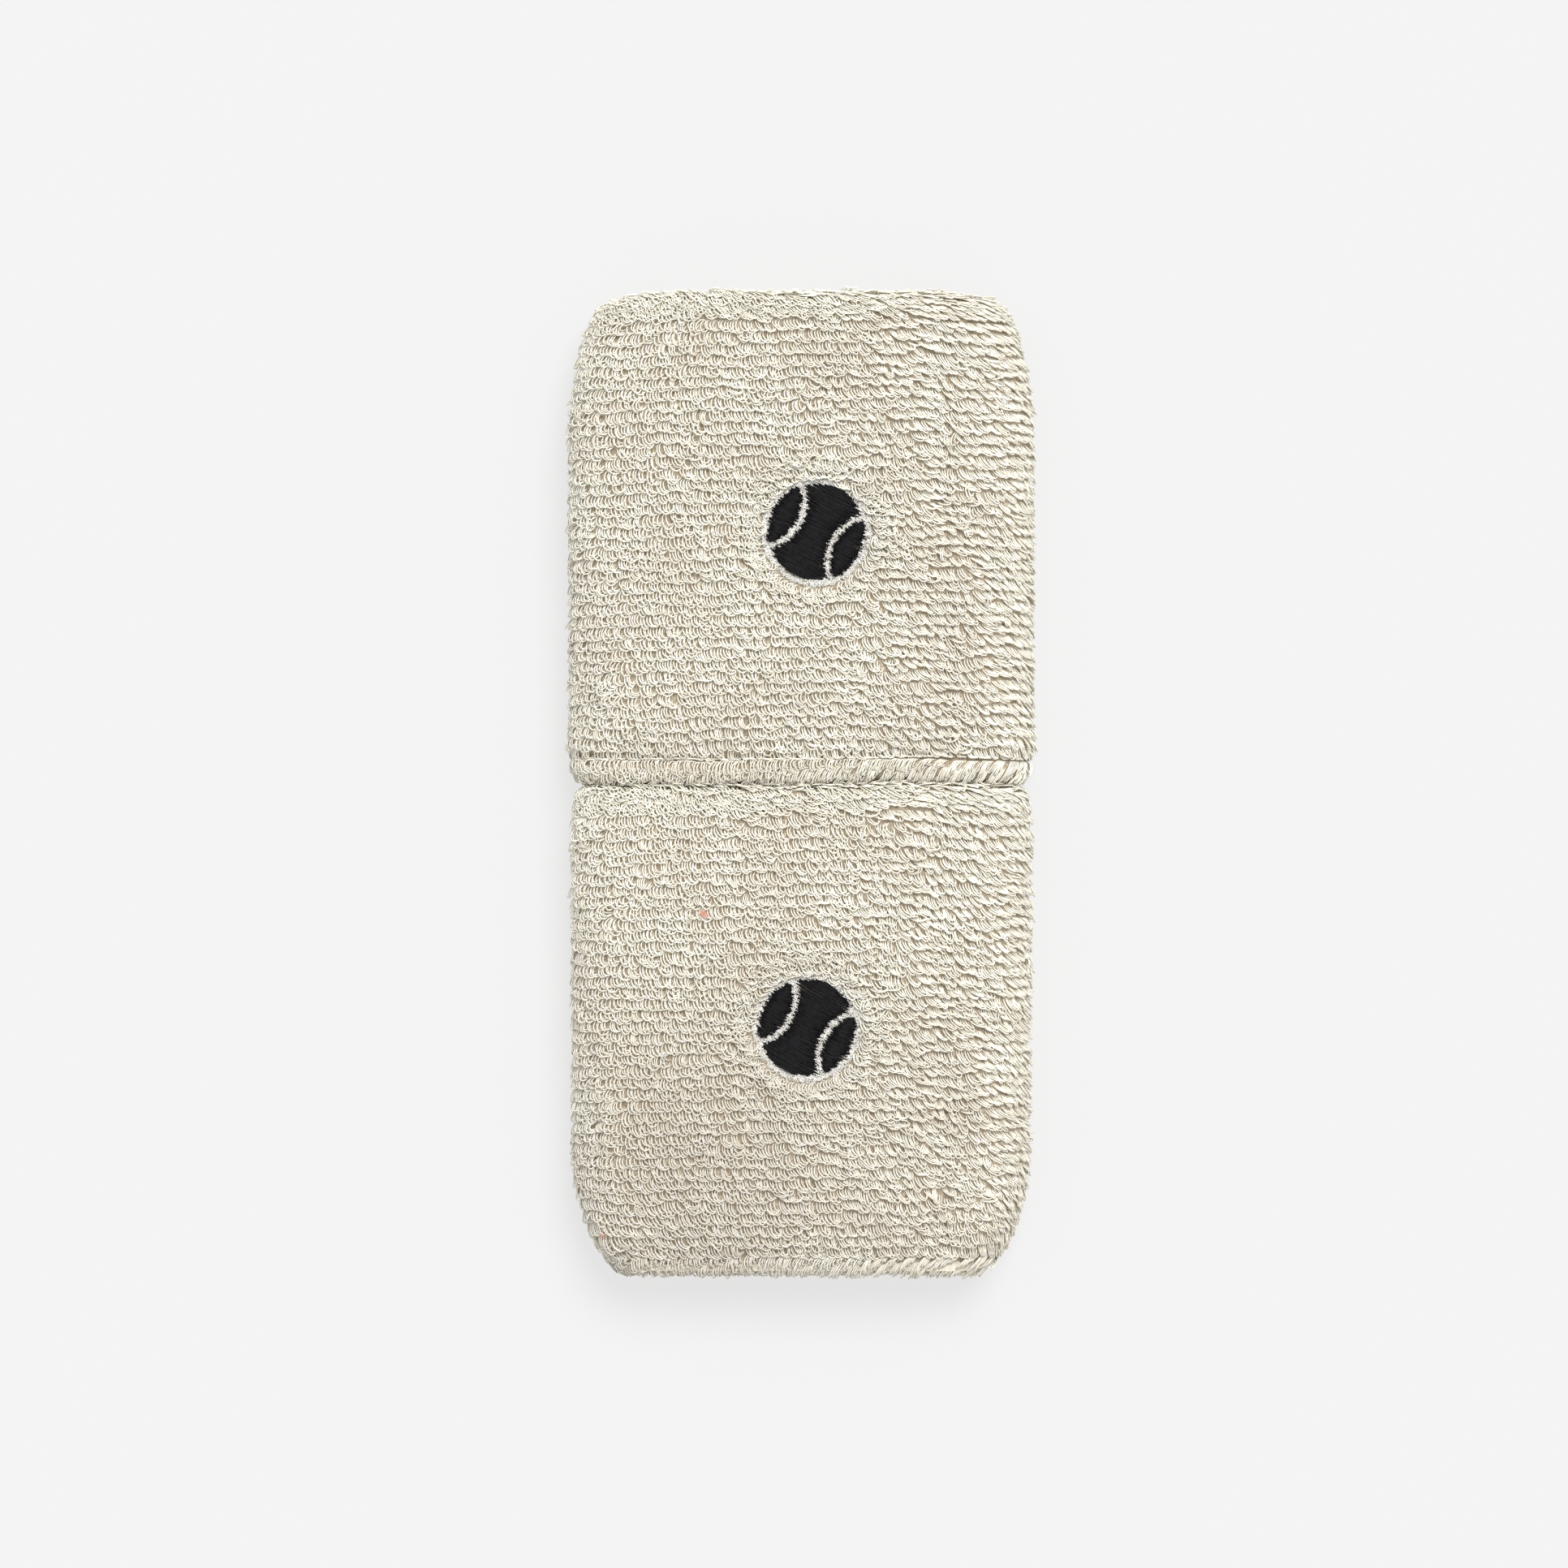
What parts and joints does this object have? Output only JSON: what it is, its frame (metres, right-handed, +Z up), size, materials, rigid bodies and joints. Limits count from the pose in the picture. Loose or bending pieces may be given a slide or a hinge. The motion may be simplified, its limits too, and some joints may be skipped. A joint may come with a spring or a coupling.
{
  "type": "sweat wristband pair",
  "caption": "Pair of cream looped-terry sweat wristbands lying flat end to end, each a double-walled stretch tube with a small black embroidered ball emblem.",
  "frame": {"origin": "on the surface the pair lies on, under the middle of the pair", "axes": "+Y along the forearm direction, from the lower band to the upper one; +X across the flat bands; +Z up through their thickness"},
  "size_m": [0.078, 0.163, 0.017],
  "materials": {
    "terry": "matte",
    "seam_thread": "matte",
    "elastic": "matte",
    "backing": "matte",
    "underlay_thread": "satin",
    "satin_thread": "satin"
  },
  "bodies": {
    "upper_band": {"upper_terry_tube": "terry", "upper_closing_seam_thread": "seam_thread", "upper_elastic_yarn_1": "elastic", "upper_elastic_yarn_2": "elastic", "upper_elastic_yarn_3": "elastic", "upper_elastic_yarn_4": "elastic", "upper_elastic_yarn_5": "elastic", "upper_elastic_yarn_6": "elastic", "upper_elastic_yarn_7": "elastic", "upper_elastic_yarn_8": "elastic", "upper_elastic_yarn_9": "elastic", "upper_embroidery_backing": "backing", "upper_underlay_stitching": "underlay_thread", "upper_satin_field_left": "satin_thread", "upper_satin_field_middle": "satin_thread", "upper_satin_field_right": "satin_thread"},
    "lower_band": {"lower_terry_tube": "terry", "lower_closing_seam_thread": "seam_thread", "lower_elastic_yarn_1": "elastic", "lower_elastic_yarn_2": "elastic", "lower_elastic_yarn_3": "elastic", "lower_elastic_yarn_4": "elastic", "lower_elastic_yarn_5": "elastic", "lower_elastic_yarn_6": "elastic", "lower_elastic_yarn_7": "elastic", "lower_elastic_yarn_8": "elastic", "lower_elastic_yarn_9": "elastic", "lower_embroidery_backing": "backing", "lower_underlay_stitching": "underlay_thread", "lower_satin_field_left": "satin_thread", "lower_satin_field_middle": "satin_thread", "lower_satin_field_right": "satin_thread"}
  },
  "joints": [
    {"name": "lower_band_slide", "type": "slide", "parent": "upper_band", "child": "lower_band", "axis": [0, -1, 0], "range_m": [0, 0.06]}
  ]
}
